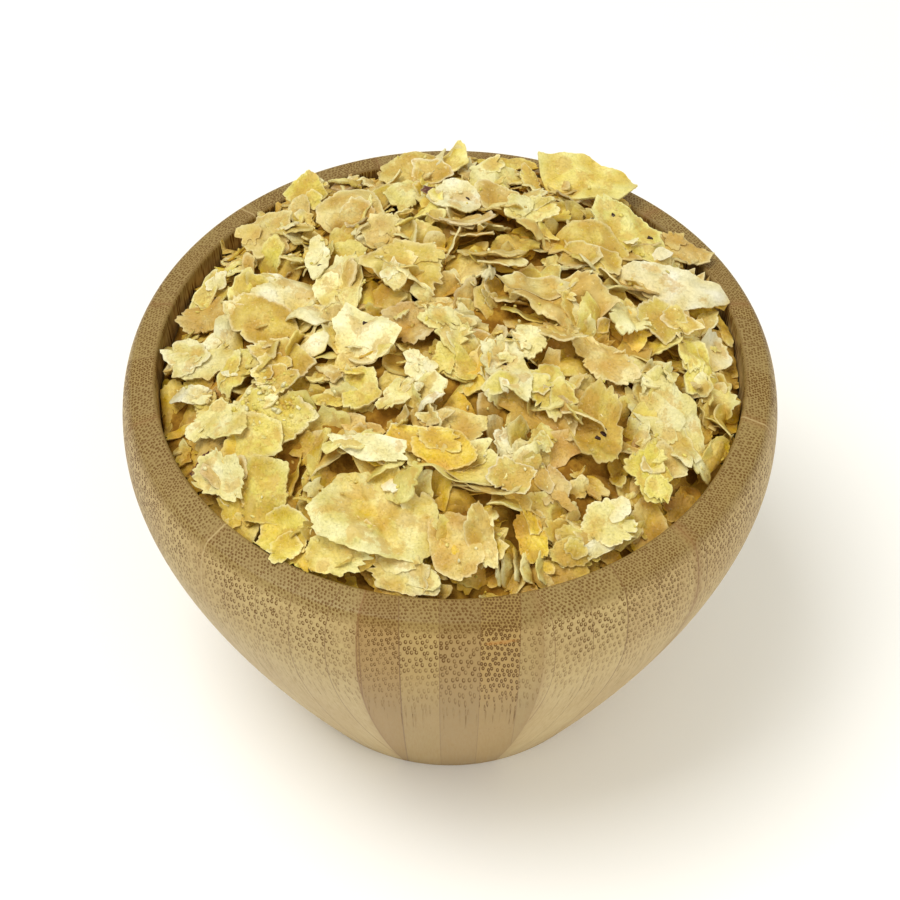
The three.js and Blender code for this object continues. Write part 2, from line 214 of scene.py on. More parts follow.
FRONT_FLAKES = (
    ("tan", 1, -28, 13, 10, -10, 12, 2, 1.0, 0.4),
    ("cream", -22, -53, 15, 9, -14, 28, -14, 0.8),
    ("cream", -9, -56, 15, 8, -16, 30, -6, -0.8),
    ("cream", 1, -38, 22, 10, -4, -16, 0, 2.4, 0.5),
    ("cream", -14, -45, 27, 21, -12, 24, -8, -1.5, 0.9),
    ("white", -16, -33, 18, 8, -20, 18, -6, -0.8, 0.7),
    ("amber", -9, -31, 11, 8, -17, 15, -5, 0.4, 0.6),
    ("amber", -1, -34, 14, 9, -19, 17, 0, 0.6, 0.6),
    ("gold", 12, -41, 10, 8, -8, 21, 7, 0.4, 0.7),
    ("tan", 1, -51, 15, 11, -62, 28, 2, -0.8, 0.6),
    ("tan", 6, -51, 17, 6, -72, 30, 10, 0.0, 0.8),
    ("amber", 16, -49, 12, 6, -72, 26, 10, 0.6, 0.6),
    ("white", 12, -32, 10, 7, -60, 16, 6, 0.0, 1.0),
    ("cream", 18, -29, 8, 7, 7, 15, 9, 0.4, 0.6),
    ("tan", 20, -38, 11, 7, -60, 20, 11, 0.6),
    ("gold", 29, -26, 17, 11, -85, 14, 14, 1.2, 0.8, DARK_SPOT),
    ("yellow", 40, -34, 14, 11, -82, 20, 20, 0.6),
    ("brown", 46, -36, 9, 7, 13, 21, 20, 0.0, 1.0),
    ("cream", 31, -45, 11, 9, -6, 26, 14, 0.0, 0.9),
    ("gold", 23, -51, 9, 6, 8, 28, 14, 0.0, 0.8),
    ("cream", 46, -22, 27, 12, -62, 14, 22, 0.8, 1.1),
)

# Flakes that stand nearly on edge side by side, seen as thin lines: the first, the step to the next,
# and how many there are.
Stack = namedtuple("Stack", "first step_x step_y count")
STACKS = (
    Stack(Flake("tan", 1, 29, 13, 8, -6, -38, 0, 0.6, 0.6), 1.4, -2.0, 4),
    Stack(Flake("tan", 8, 17, 13, 8, -14, -34, 6, 0.6, 0.6), 1.8, -1.9, 4),
    Stack(Flake("cream", 10, -53, 9, 7, 84, 24, 62, 0.4, 0.6), 2.0, 0.2, 5),
    Stack(Flake("cream", -26, 22, 10, 7, 100, 0, -58, 0.5, 0.7), -1.9, -0.8, 3),
    Stack(Flake("gold", 52, -15, 11, 7, 80, 10, 62, 0.4, 0.6), 2.0, -0.3, 3),
    Stack(Flake("cream", 55, -22, 12, 5, 52, 30, 50, 0.8, 0.4), -1.4, -2.0, 3),
    Stack(Flake("tan", 20, -3, 12, 7, -20, -30, 0, 0.8, 0.6), 2.0, -2.2, 3),
    Stack(Flake("tan", 5, -39, 16, 7, -6, -30, 4, 1.4, 0.5), 1.6, -1.7, 3),
)


def linear(red, green, blue):
    """A colour given as 8-bit sRGB, as linear light."""
    shares = np.array([red, green, blue]) / 255
    return np.where(shares <= 0.04045, shares / 12.92, ((shares + 0.055) / 1.055) ** 2.4)


# Each kind's own tone, the paler and the deeper tone that it is clouded with, and how much of it is
# blotched with toast.
Kind = namedtuple("Kind", "tone pale deep blotches")
TOAST = linear(196, 154, 62)
CRISP = linear(248, 240, 196)  # a fresh break
KINDS = {
    "white": Kind(linear(236, 228, 174), linear(244, 239, 200), linear(224, 209, 138), 0.3),
    "cream": Kind(linear(228, 216, 136), linear(239, 231, 168), linear(213, 188, 92), 0.5),
    "yellow": Kind(linear(225, 209, 102), linear(236, 223, 134), linear(204, 174, 58), 0.45),
    "gold": Kind(linear(211, 187, 88), linear(226, 207, 116), linear(188, 151, 50), 0.5),
    "tan": Kind(linear(214, 190, 110), linear(229, 214, 146), linear(197, 160, 76), 0.6),
    "amber": Kind(linear(226, 193, 62), linear(236, 212, 92), linear(206, 163, 38), 0.3),
    "husk": Kind(linear(106, 60, 48), linear(144, 94, 72), linear(74, 38, 30), 0.0),
    "brown": Kind(linear(186, 150, 78), linear(206, 178, 106), linear(154, 110, 44), 0.8),
}

# Flakes strewn over the mouth: how many, from which size to which, the parts of each kind, how far
# they tilt, the sides and rings of each, and the radius that they keep outside.
Filling = namedtuple("Filling", "count sizes kinds spread sides rings inner", defaults=(0.0,))
DEEP_KINDS = {"cream": 2, "yellow": 2, "gold": 5, "tan": 6, "amber": 1, "brown": 1}
MIXED_KINDS = {"white": 2, "cream": 5, "yellow": 3, "gold": 3, "tan": 4, "amber": 1}
FILLINGS = (
    Filling(330, (7, 14), DEEP_KINDS, 16, 26, 3),
    Filling(230, (4, 8), DEEP_KINDS, 20, 24, 3, 49),
    Filling(310, (6, 13), MIXED_KINDS, 28, 44, 4),
)
TOPPINGS = (
    Filling(80, (4, 8), MIXED_KINDS, 40, 30, 3),
    Filling(130, (2.5, 6), MIXED_KINDS, 18, 22, 2),
)
STACK_SIDES, STACK_RINGS = 48, 5
LARGE_SIDES, LARGE_RINGS = 110, 8


class Noise:
    """Soft noise of one wavelength over the plane, from a tile made once. Its spread is 1."""

    CELLS = 192

    def __init__(self, wavelength, seed):
        self.pitch = wavelength / 8
        random = np.random.default_rng(seed)
        spectrum = np.fft.fft2(random.standard_normal((self.CELLS, self.CELLS)))
        waves = np.fft.fftfreq(self.CELLS) * 8
        rate = np.hypot(waves[:, None], waves[None, :])
        spectrum *= np.exp(-(((rate - 1) / 0.5) ** 2))
        tile = np.fft.ifft2(spectrum).real
        self.tile = tile / tile.std()

    def at(self, x, y):
        u, v = np.asarray(x) / self.pitch, np.asarray(y) / self.pitch
        i, j = np.floor(u).astype(int), np.floor(v).astype(int)
        s, t = u - i, v - j
        i0, j0 = i % self.CELLS, j % self.CELLS
        i1, j1 = (i + 1) % self.CELLS, (j + 1) % self.CELLS
        low = self.tile[i0, j0] * (1 - s) + self.tile[i1, j0] * s
        high = self.tile[i0, j1] * (1 - s) + self.tile[i1, j1] * s
        return low * (1 - t) + high * t


BUCKLE = Noise(9.0, 1)
CRUMPLE = Noise(3.2, 2)
GRAIN = Noise(1.1, 3)
CLOUD = Noise(7.0, 4)
SWAY_FORWARD = Noise(24.0, 6)
SWAY_ASIDE = Noise(24.0, 7)


def circle(sides):
    """The angles of so many sides."""
    return 2 * math.pi * np.arange(sides) / sides


def neighbours(sides):
    """Each side's number, and the next one's."""
    side = np.arange(sides)
    return side, (side + 1) % sides


def smooth_step(low, high, value):
    share = np.clip((value - low) / (high - low), 0, 1)
    return share * share * (3 - 2 * share)


# ---- shader nodes ----


class Nodes:
    """Short calls that add a material's nodes and link them."""

    def __init__(self, name):
        self.material = bpy.data.materials.new(name)
        self.material.use_nodes = True
        self.tree = self.material.node_tree
        self.tree.nodes.clear()

    def add(self, kind, inputs=(), **settings):
        node = self.tree.nodes.new("ShaderNode" + kind)
        for key, value in settings.items():
            setattr(node, key, value)
        for key, value in dict(inputs).items():
            self.put(node.inputs[key], value)
        return node

    def put(self, socket, value):
        if isinstance(value, bpy.types.NodeSocket):
            self.tree.links.new(value, socket)
        else:
            socket.default_value = value

    def math(self, operation, *values, clamp=False):
        node = self.add("Math", operation=operation, use_clamp=clamp)
        for socket, value in zip(node.inputs, values):
            self.put(socket, value)
        return node.outputs[0]

    def times(self, *values, **settings):
        return self.math("MULTIPLY", *values, **settings)

    def plus(self, *values):
        return self.math("ADD", *values)

    def minus(self, *values):
        return self.math("SUBTRACT", *values)

    def over(self, *values):
        return self.math("DIVIDE", *values)

    def is_zero(self, value):
        return self.math("COMPARE", value, 0.0, 0.1)

    def length(self, vector):
        return self.add("VectorMath", operation="LENGTH", inputs={0: vector}).outputs["Value"]

    def place(self):
        """The point on the object, in metres."""
        return self.add("TexCoord").outputs["Object"]

    def mix(self, share, first, second):
        node = self.add("Mix", data_type="RGBA")
        self.put(node.inputs[0], share)
        for socket, value in ((node.inputs[6], first), (node.inputs[7], second)):
            if not isinstance(value, bpy.types.NodeSocket):
                value = (*value, 1.0)
            self.put(socket, value)
        return node.outputs[2]

    def toned(self, colour, saturation, value):
        inputs = {"Saturation": saturation, "Value": value, "Color": colour}
        return self.add("HueSaturation", inputs).outputs[0]

    def range(self, value, low, high, to_low=0.0, to_high=1.0):
        node = self.add("MapRange", {"Value": value}, interpolation_type="SMOOTHSTEP")
        limits = {"From Min": low, "From Max": high, "To Min": to_low, "To Max": to_high}
        for key, limit in limits.items():
            node.inputs[key].default_value = limit
        return node.outputs[0]

    def steps(self, value, colours):
        """Each of the colours over an equal share of 0 to 1."""
        node = self.add("ValToRGB", {"Fac": value})
        ramp = node.color_ramp
        ramp.interpolation = "CONSTANT"
        for i, colour in enumerate(colours):
            stop = ramp.elements[0] if i == 0 else ramp.elements.new(i / len(colours))
            stop.color = (*colour, 1.0)
        ramp.elements.remove(ramp.elements[len(colours)])
        return node.outputs[0]

    def vector(self, x, y, z=0.0):
        return self.add("CombineXYZ", {"X": x, "Y": y, "Z": z}).outputs[0]

    def noise(self, vector, scale, detail=2.0, roughness=0.5):
        inputs = {"Vector": vector, "Scale": scale, "Detail": detail, "Roughness": roughness}
        return self.add("TexNoise", inputs).outputs[0]

    def random(self, vector):
        return self.add("TexWhiteNoise", {"Vector": vector}, noise_dimensions="3D").outputs[0]

    def bump(self, height, distance, strength=1.0, normal=None):
        inputs = {"Height": height, "Distance": distance, "Strength": strength}
        if normal is not None:
            inputs["Normal"] = normal
        return self.add("Bump", inputs).outputs[0]

    def surface(self, colour, roughness, normal, **constants):
        shader = self.add("BsdfPrincipled")
        self.put(shader.inputs["Base Color"], colour)
        self.put(shader.inputs["Roughness"], roughness)
        self.put(shader.inputs["Normal"], normal)
        for key, value in constants.items():
            shader.inputs[key.replace("_", " ")].default_value = value
        output = self.add("OutputMaterial")
        self.tree.links.new(shader.outputs[0], output.inputs[0])
        return self.material


# The strips of the front stave from left to right: the tone of each, how dark its bundles are, and
# how fine. The other staves take theirs at random.
STRIP_LOOKS = (
    (linear(164, 132, 75), 0.9, 1.2),
    (linear(177, 150, 90), 0.72, 1.0),
    (linear(161, 132, 78), 0.9, 0.95),
    (linear(174, 142, 78), 2.2, 1.15),
    (linear(174, 149, 92), 0.7, 1.0),
)
FIRST_STRIP = -3
OTHER_STAVES = linear(200, 178, 122)
LOW_WALL = linear(186, 166, 122)
LOW_WALL_FRONT = linear(134, 109, 62)
CLOUDED = linear(166, 136, 84)
FIBRE = linear(158, 126, 76)
# the rim's top: its darker end grain, together with painted shade where the light reaches it less
RIM_GRAIN_AND_SHADE = linear(136, 114, 64)
BUNDLE = linear(100, 66, 8)
SEAM = linear(112, 78, 38)
BESIDE_JOINT = linear(140, 104, 56)
TORN = linear(178, 122, 48)
TORN_PLACE = (9.6, 89.5)
TORN_HALF = (3.4, 0.55)
DARK_GLUE = linear(128, 90, 46)
PALE_GLUE = linear(192, 170, 118)
JOINT_TONES = (
    *(DARK_GLUE, PALE_GLUE, DARK_GLUE, DARK_GLUE, PALE_GLUE, DARK_GLUE),
    *(DARK_GLUE, DARK_GLUE, PALE_GLUE, DARK_GLUE, DARK_GLUE, PALE_GLUE),
)


def stave_place(n, split):
    """The stave at a point, and the point's place in it: how far aside from its middle, across the
    fibres towards the outside, and along the fibres. Also the azimuth and radius."""
    x, y, z = split
    azimuth = n.math("ARCTAN2", x, n.times(y, -1))
    radius = n.math("SQRT", n.plus(n.times(x, x), n.times(y, y)))
    stave = n.math("ROUND", n.over(azimuth, STAVE_ANGLE))
    turn = n.minus(azimuth, n.times(stave, STAVE_ANGLE))
    aside = n.times(radius, n.math("SINE", turn))
    outward = n.times(radius, n.math("COSINE", turn))
    rise, lean = math.sin(FIBRE_SLOPE), math.cos(FIBRE_SLOPE)
    depth = n.minus(n.times(outward, rise), n.times(z, lean))
    along = n.plus(n.times(outward, lean), n.times(z, rise))
    return stave, aside, depth, along, azimuth, radius


def strip_looks(n, stave, strip):
    """The tone of a strip, how dark its bundles are and how fine."""
    front = n.is_zero(stave)
    other = n.minus(1.0, front)
    named = n.over(n.minus(strip, FIRST_STRIP - 0.5), float(len(STRIP_LOOKS)))
    chance = n.random(n.vector(stave, strip, 3.0))
    pick = n.plus(n.times(front, named), n.times(other, chance))
    tone = n.steps(pick, [look[0] for look in STRIP_LOOKS])
    tone = n.mix(n.times(other, 0.55), tone, OTHER_STAVES)
    dense = n.steps(pick, [(look[1],) * 3 for look in STRIP_LOOKS])
    fine = n.steps(pick, [(look[2] / 2,) * 3 for look in STRIP_LOOKS])
    return tone, dense, n.times(fine, 2.0)


def bundles(n, aside, depth, strip, fine, z, filled):
    """The cut vascular bundles in staggered rows: dark rings, open on one side, and more or less
    filled. Lower down they are cut aslant, so they are narrower and less even, and end one by one."""
    narrow = n.range(z, 52.0, 80.0, 2.1, 1.0)
    scale = n.over(fine, BUNDLE_SPACING)
    x = n.times(n.plus(aside, n.times(strip, 31.7)), scale)
    row = n.over(n.times(depth, scale), ROW_PITCH)
    staggered = n.vector(n.minus(x, n.times(row, 0.5)), row)
    uneven = n.range(z, 60.0, 78.0, 0.9, 0.5)
    inputs = {"Vector": staggered, "Scale": 1.0, "Randomness": uneven}
    cells = n.add("TexVoronoi", inputs, voronoi_dimensions="2D")
    middle = n.add("SeparateXYZ", {0: cells.outputs["Position"]}).outputs
    middle_x = n.plus(middle[0], n.times(middle[1], 0.5))
    aside_it = n.times(n.minus(x, middle_x), narrow)
    above_it = n.times(n.minus(row, middle[1]), ROW_PITCH)
    offset = n.vector(aside_it, above_it)
    reach = n.length(offset)
    ring = n.times(n.range(reach, 0.06, 0.21, filled, 1.0), n.range(reach, 0.38, 0.27))
    facing = n.add("VectorMath", operation="NORMALIZE", inputs={0: offset}).outputs[0]
    side = n.add("VectorMath", operation="DOT_PRODUCT", inputs={0: facing, 1: (-0.75, 0.66, 0)})
    open_side = n.range(side.outputs["Value"], -0.9, 0.2, 0.45, 1.0)
    chance = n.random(cells.outputs["Position"])
    ends = n.range(n.plus(z, n.range(chance, 0.0, 1.0, -9.0, 9.0)), 48.0, 74.0)
    own = n.times(n.range(chance, 0.0, 1.0, 0.6, 1.0), ends)
    return n.times(n.times(ring, open_side), own)


def bamboo_joints(n, colour, azimuth, radius):
    """The glue between staves, here pale and there dark, from the back round by the left."""
    joint = n.math("ROUND", n.minus(n.over(azimuth, STAVE_ANGLE), 0.5))
    middle = n.times(n.plus(joint, 0.5), STAVE_ANGLE)
    gap = n.times(n.math("ABSOLUTE", n.minus(azimuth, middle)), radius)
    pick = n.over(n.plus(joint, 6.5), 12.0)
    glue = n.steps(pick, JOINT_TONES)
    beside = n.times(n.range(gap, 2.2, 0.0), n.range(joint, 0.8, 1.0, 0.2, 0.45))
    colour = n.mix(beside, colour, BESIDE_JOINT)
    subtle = n.is_zero(joint)
    share = n.times(n.range(gap, 0.26, 0.08), n.range(subtle, 0.0, 1.0, 0.6, 0.12))
    return n.mix(share, colour, glue)


def torn_fibres(n, colour, stave, aside, z):
    """The small orange mark below the front of the rim."""
    offset = [
        n.over(n.minus(place, middle), half)
        for place, middle, half in zip((aside, z), TORN_PLACE, TORN_HALF)
    ]
    reach = n.length(n.vector(*offset))
    ragged = n.noise(n.vector(aside, n.times(z, 3.0)), 0.7, 3.0, 0.6)
    reach = n.plus(reach, n.times(n.minus(ragged, 0.5), 1.6))
    share = n.times(n.range(reach, 1.1, 0.6), n.is_zero(stave))
    return n.mix(n.times(share, 0.55), colour, TORN)


def bamboo_material():
    """Staves of bamboo strips whose fibres lean outwards, so that the cut bundles are dots on the
    rim, ovals on the belly and streaks on the lower wall."""
    n = Nodes("bamboo")
    place = n.place()
    millimetres = n.add("VectorMath", operation="SCALE", inputs={0: place, "Scale": 1 / MM})
    split = n.add("SeparateXYZ", {0: millimetres.outputs[0]}).outputs
    z = split[2]
    stave, aside, depth, along, azimuth, radius = stave_place(n, split)
    shift = n.math("FRACT", n.times(n.math("SINE", stave), 43.7))
    started = n.over(n.minus(aside, FIRST_SEAM), STRIP_WIDTH)
    started = n.plus(started, shift)
    strip = n.math("FLOOR", started)
    across = n.math("FRACT", started)
    tone, dense, fine = strip_looks(n, stave, strip)
    below = n.math("MAXIMUM", n.minus(STREAKS_BELOW, z), 0.0)
    grazing = n.times(n.times(below, below), 0.0042)
    within = n.times(n.range(radius, MOUTH_RADIUS + 0.6, MOUTH_RADIUS + 0.1), z)
    drawn = n.plus(n.minus(depth, grazing), n.times(within, 0.4))
    on_rim = n.range(z, BOWL_HEIGHT - 4, BOWL_HEIGHT - 1)
    rings = bundles(n, aside, drawn, strip, fine, z, 0.05)
    dots = bundles(n, aside, drawn, strip, n.times(fine, CLOSER_ON_RIM), z, 0.75)
    rings = n.plus(n.times(rings, n.minus(1.0, on_rim)), n.times(dots, on_rim))

    fibre_place = n.vector(aside, depth, n.times(along, 0.03))
    fibres = n.noise(fibre_place, 2.6, 4.0, 0.6)
    cloud = n.noise(n.vector(aside, depth, n.times(along, 0.3)), 0.12, 3.0)
    patches = n.range(n.noise(n.vector(aside, drawn, strip), 0.16, 2.0), 0.3, 0.6, 0.5, 1.1)
    dense = n.times(n.times(dense, patches), n.range(z, 74.0, 93.0, 1.0, 2.1))
    marks = n.times(rings, dense, clamp=True)

    low_tone = n.mix(n.is_zero(stave), LOW_WALL, LOW_WALL_FRONT)
    base = n.mix(n.range(z, 84.0, 60.0, 0.0, 0.5), tone, low_tone)
    base = n.mix(n.range(cloud, 0.3, 0.7, 0.0, 0.35), base, CLOUDED)
    base = n.mix(n.range(fibres, 0.35, 0.75, 0.0, 0.4), base, FIBRE)
    # the rim's top darker: partly its end grain, partly painted shade
    base = n.mix(on_rim, base, n.mix(0.35, n.toned(base, 1.08, 0.69), RIM_GRAIN_AND_SHADE))
    colour = n.mix(marks, base, BUNDLE)
    colour = torn_fibres(n, colour, stave, aside, z)

    edge = n.times(n.math("MINIMUM", across, n.minus(1.0, across)), STRIP_WIDTH)
    chance = n.random(n.vector(stave, strip, 1.0))
    seam = n.times(n.range(edge, 0.2, 0.04), n.range(chance, 0.2, 0.8))
    colour = n.mix(n.times(seam, 0.75), colour, SEAM)
    colour = bamboo_joints(n, colour, azimuth, radius)
    relief = n.minus(n.times(fibres, 0.6), seam)
    normal = n.bump(relief, 0.00002, 0.3)
    roughness = n.range(n.plus(marks, fibres), 0.2, 1.4, 0.46, 0.66)
    return n.surface(colour, roughness, normal, Specular_IOR_Level=0.35)


def flake_material(name):
    """Dry chestnut: the mesh's own tones with the painted shade that they carry, toasted in ragged
    blotches as far as the mesh says, with fine grain, pale flecks and thin layers that have come off in
    part."""
    n = Nodes(name)
    place = n.place()
    attribute = n.add("Attribute", attribute_name="tone").outputs
    tone, toasted = attribute["Color"], attribute["Alpha"]
    grain = n.noise(place, 2600.0, 3.0, 0.6)
    mottle = n.noise(place, 520.0, 4.0, 0.6)
    flecks = n.range(n.noise(place, 1500.0, 2.0), 0.65, 0.72)
    wisps = n.noise(place, 380.0, 5.0, 0.65)
    layers = n.noise(place, 300.0, 5.0, 0.68)
    peeled = n.plus(n.range(layers, 0.5, 0.508), n.range(layers, 0.58, 0.588))
    peeled = n.plus(peeled, n.range(layers, 0.42, 0.428))
    mixed = n.plus(n.times(grain, 0.5), n.times(mottle, 0.5))
    shade = n.plus(n.range(mixed, 0.36, 0.6, 0.0, 0.64), n.times(peeled, 0.12))
    colour = n.mix(shade, n.toned(tone, 1.08, 0.9), n.toned(tone, 0.93, 1.05))
    blotch = n.range(n.plus(wisps, toasted), 0.92, 1.05, 0.0, 0.5)
    colour = n.mix(blotch, colour, TOAST)
    colour = n.mix(n.times(flecks, 0.25), colour, CRISP)
    normal = n.bump(mottle, 0.0003, 0.3)
    normal = n.bump(peeled, 0.0002, 0.8, normal)
    roughness = n.range(mottle, 0.3, 0.7, 0.46, 0.7)
    return n.surface(colour, roughness, normal, Specular_IOR_Level=0.4)


def core_material():
    """The flakes deep in the heap, darker and warmer in painted shade."""
    n = Nodes("deep_flakes_painted_shade")
    place = n.place()
    clumps = n.noise(place, 330.0, 3.0, 0.6)
    # painted shade: dark, warm tones for the flakes deep in the heap
    colour = n.mix(n.range(clumps, 0.35, 0.7), linear(136, 92, 20), linear(184, 140, 46))
    return n.surface(colour, 0.85, n.bump(clumps, 0.0012, 0.8), Specular_IOR_Level=0.2)


def floor_material():
    n = Nodes("floor")
    place = n.place()
    mottle = n.noise(place, 3.0, 2.0)
    colour = n.mix(n.range(mottle, 0.3, 0.7), linear(250, 250, 249), linear(254, 254, 253))
    return n.surface(colour, 0.8, n.bump(mottle, 0.0005, 0.1), Specular_IOR_Level=0.1)


# ---- meshes ----


class Batch:
    """Gathers many small closed meshes, in millimetres, into one object."""

    def __init__(self):
        self.vertices, self.triangles, self.tones, self.rims = [], [], [], []
        self.count = 0

    def add(self, vertices, triangles, tones, rims=None):
        self.vertices.append(vertices)
        self.triangles.append(triangles + self.count)
        self.tones.append(tones)
        self.rims.append(np.zeros(len(vertices), int) if rims is None else rims)
        self.count += len(vertices)

    def make(self, name, material):
        """The object, its edges sharp where both ends lie on the same rim (1 above, 2 below)."""
        vertices = np.concatenate(self.vertices) * MM
        triangles = np.concatenate(self.triangles)
        mesh = bpy.data.meshes.new(name)
        mesh.vertices.add(len(vertices))
        mesh.vertices.foreach_set("co", vertices.astype(np.float32).ravel())
        mesh.loops.add(triangles.size)
        mesh.loops.foreach_set("vertex_index", triangles.astype(np.int32).ravel())
        mesh.polygons.add(len(triangles))
        mesh.polygons.foreach_set("loop_start", np.arange(0, triangles.size, 3, dtype=np.int32))
        mesh.update(calc_edges=True)
        mesh.polygons.foreach_set("use_smooth", np.ones(len(triangles), bool))
        tones = np.concatenate(self.tones)
        attribute = mesh.color_attributes.new("tone", "FLOAT_COLOR", "POINT")
        attribute.data.foreach_set("color", tones.astype(np.float32).ravel())
        rims = np.concatenate(self.rims)
        ends = np.empty(2 * len(mesh.edges), np.int32)
        mesh.edges.foreach_get("vertices", ends)
        ends = rims[ends.reshape(-1, 2)]
        sharp = mesh.attributes.new("sharp_edge", "BOOLEAN", "EDGE")
        sharp.data.foreach_set("value", (ends[:, 0] > 0) & (ends[:, 0] == ends[:, 1]))
        mesh.validate()
        mesh.materials.append(material)
        piece = bpy.data.objects.new(name, mesh)
        bpy.context.scene.collection.objects.link(piece)
        return piece


def plain(colour, count):
    """One colour, not toasted, for so many places."""
    return np.tile(np.append(colour, 0.0), (count, 1))


def bezier(points, steps):
    t = np.linspace(0, 1, steps + 1)[:, None]
    a, b, c, d = (np.array(p, float) for p in points)
    return a * (1 - t) ** 3 + 3 * b * t * (1 - t) ** 2 + 3 * c * t * t * (1 - t) + d * t**3


def arc(centre, radii, start, end, steps):
    angle = np.radians(np.linspace(start, end, steps + 1))[:, None]
    return np.array(centre) + np.array(radii) * np.hstack([np.cos(angle), np.sin(angle)])


def cavity_profile():
    """The inside of the bowl as (radius, height), from the floor's edge up to the mouth."""
    lip = BOWL_HEIGHT - EDGE_ROUNDING
    return bezier(
        (
            (FLOOR_RADIUS, FLOOR_THICKNESS),
            (CORNER_RADIUS, FLOOR_THICKNESS),
            (MOUTH_RADIUS, UPRIGHT_FROM),
            (MOUTH_RADIUS, lip),
        ),
        CURVE_STEPS,
    )


def bowl_profile():
    """Foot, outside, rim and inside as (radius, height)."""
    rim_outer = MOUTH_RADIUS + RIM_WIDTH
    shoulder_top = BOWL_HEIGHT - RIM_DROP
    foot = arc((FOOT_RADIUS - EDGE_ROUNDING, EDGE_ROUNDING), (EDGE_ROUNDING, EDGE_ROUNDING), -90, 0, 5)
    wall = bezier(
        (
            (FOOT_RADIUS, EDGE_ROUNDING),
            (FOOT_RADIUS, EDGE_ROUNDING),
            (BOWL_RADIUS, BELLY_HEIGHT - BELLY_PULL),
            (BOWL_RADIUS, BELLY_HEIGHT),
        ),
        2 * CURVE_STEPS,
    )
    shoulder = arc(
        (rim_outer, BELLY_HEIGHT),
        (BOWL_RADIUS - rim_outer, shoulder_top - BELLY_HEIGHT),
        0,
        90,
        CURVE_STEPS // 2,
    )
    mouth = arc(
        (MOUTH_RADIUS + EDGE_ROUNDING, BOWL_HEIGHT - EDGE_ROUNDING),
        (EDGE_ROUNDING, EDGE_ROUNDING),
        90,
        180,
        6,
    )
    inside = cavity_profile()[::-1]
    return np.vstack([foot, wall[1:], shoulder[1:], mouth, inside[1:]])


def lathe(profile, segments, height=None):
    """A closed mesh turned from a profile: its rings, and a middle point at each end. height moves
    the points after the profile's index height[0] to the surface height[1](x, y)."""
    angle = circle(segments)
    rings = np.stack(
        [
            profile[:, None, 0] * np.cos(angle),
            profile[:, None, 0] * np.sin(angle),
            np.repeat(profile[:, None, 1], segments, 1),
        ],
        axis=-1,
    )
    ends = np.array([[0, 0, profile[0, 1]], [0, 0, profile[-1, 1]]])
    if height is not None:
        first, surface = height
        rings[first:, :, 2] = surface(rings[first:, :, 0], rings[first:, :, 1])
        ends[1, 2] = surface(0.0, 0.0)
    vertices = np.vstack([rings.reshape(-1, 3), ends])
    ring, side = np.meshgrid(np.arange(len(profile) - 1), np.arange(segments), indexing="ij")
    after = (side + 1) % segments
    a, b = ring * segments + side, ring * segments + after
    c, d = b + segments, a + segments
    walls = np.vstack([np.c_[a.ravel(), b.ravel(), c.ravel()], np.c_[a.ravel(), c.ravel(), d.ravel()]])
    around, following = neighbours(segments)
    low, high = len(vertices) - 2, len(vertices) - 1
    last = (len(profile) - 1) * segments
    bottom = np.c_[np.full(segments, low), following, around]
    top = np.c_[np.full(segments, high), last + around, last + following]
    return vertices, np.vstack([walls, bottom, top])


# ---- the heap's surface and core ----


def heap_height(x, y):
    """The dome of the heap, as the solid has it."""
    reach = np.minimum(np.hypot(x, y) / MOUTH_RADIUS, 1.1)
    dome = DOME_RISE * (1 - reach**DOME_POWER)
    saddle = -SADDLE * (x * x - y * y) / MOUTH_RADIUS**2
    return BOWL_HEIGHT + EDGE_LEVEL + dome + saddle + BACK_RISE * y / MOUTH_RADIUS


def core_height(x, y):
    return heap_height(x, y) - CORE_DEPTH + 0.5 * BUCKLE.at(x, y) + 0.3 * CRUMPLE.at(x, y)


def core_piece():
    """The bulk of the heap: it fills the bowl, CORE_GAP off the wall."""
    wall = cavity_profile() + CORE_GAP * np.array([-1, 1])
    wall = wall[wall[:, 1] < BOWL_HEIGHT - 12]
    lid = np.linspace(MOUTH_RADIUS - CORE_GAP, 0.6, CORE_RINGS)
    profile = np.vstack([wall, np.c_[lid, np.full(len(lid), BOWL_HEIGHT)]])
    vertices, triangles = lathe(profile, CORE_SIDES, (len(wall), core_height))
    batch = Batch()
    batch.add(vertices, triangles, plain(TOAST, len(vertices)))
    return batch.make("heap_core", core_material())


# ---- flakes ----


def ripple(random, count, waves):
    """Ups and downs round an edge, with up to about so many waves. Their spread is 1."""
    spectrum = np.fft.rfft(random.standard_normal(count))
    rate = np.arange(len(spectrum)) / waves
    spectrum *= np.exp(-(rate**2)) * (rate > 0)
    line = np.fft.irfft(spectrum, count)
    return line / line.std()


